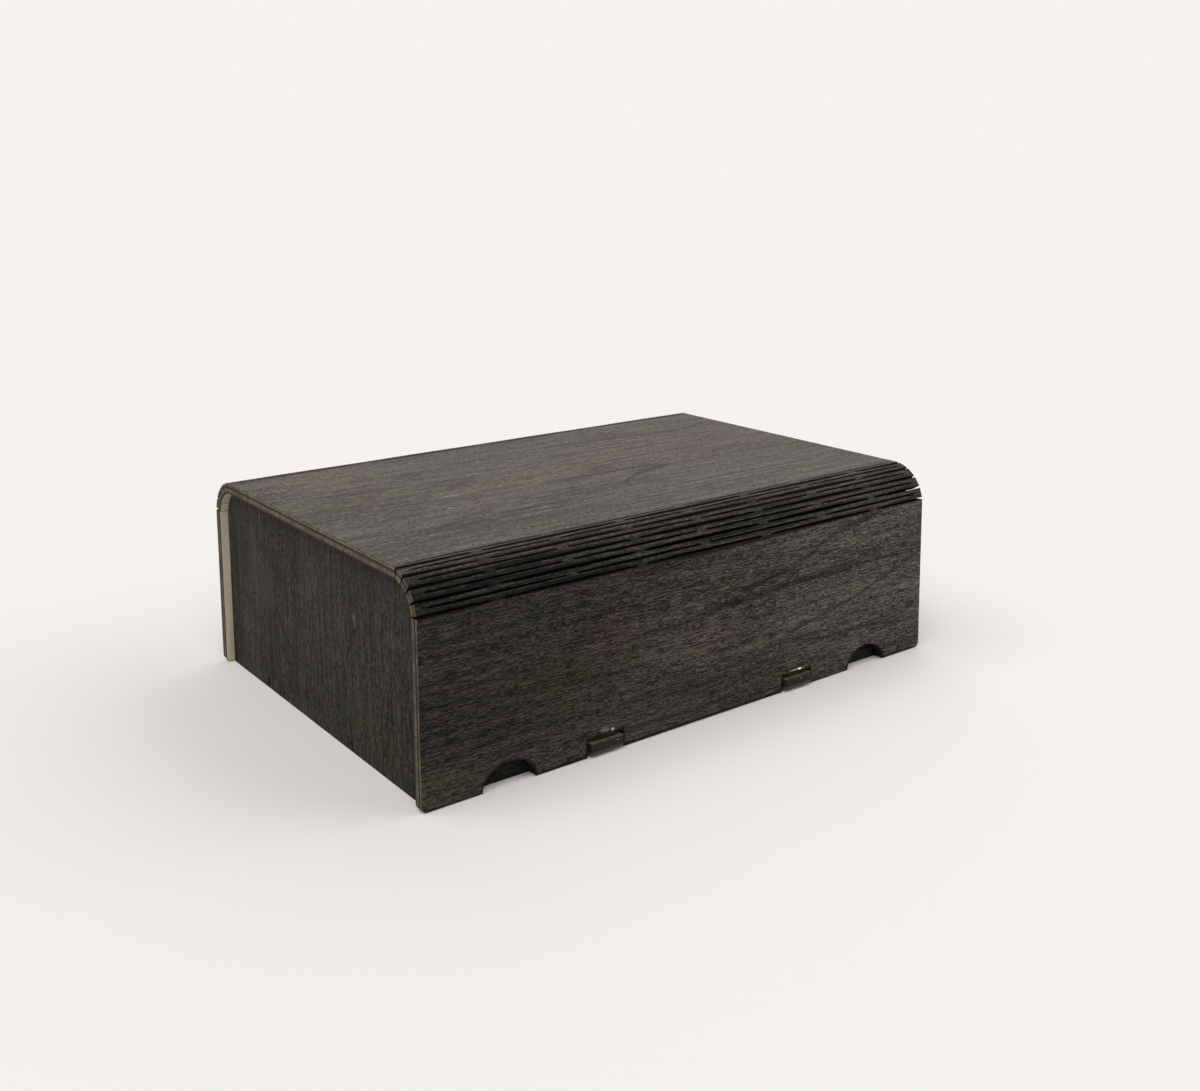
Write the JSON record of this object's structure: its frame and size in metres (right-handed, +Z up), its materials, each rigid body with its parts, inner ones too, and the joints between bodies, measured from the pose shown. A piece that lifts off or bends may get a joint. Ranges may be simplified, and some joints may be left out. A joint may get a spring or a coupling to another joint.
{
  "type": "wooden keepsake box",
  "caption": "Low rectangular box cut from thin plywood: an open tray on a tabbed floor, under a cover bent over it along rows of slits, which slides straight up off the tray.",
  "frame": {"origin": "Middle of the box's footprint, on the surface that it stands on", "axes": "+X runs along the box's length, the front side faces -Y, +Z is up"},
  "size_m": [0.17, 0.122, 0.0555],
  "materials": {
    "stained_cover_plywood": "charcoal stain, satin",
    "stained_end_plywood": "charcoal stain, satin",
    "stained_wall_plywood": "charcoal stain, matt",
    "floor_plywood": "bare wood inside, charred at the cut edges"
  },
  "bodies": {
    "tray": {"bottom_panel": "floor_plywood", "left_end_panel": "stained_end_plywood", "right_end_panel": "stained_end_plywood", "inner_front_wall": "stained_wall_plywood", "inner_back_wall": "stained_wall_plywood"},
    "cover": {"cover": "stained_cover_plywood"}
  },
  "joints": [
    {"name": "cover_lift", "type": "slide", "parent": "tray", "child": "cover", "axis": [0, 0, 1], "range_m": [0, 0.08]}
  ]
}
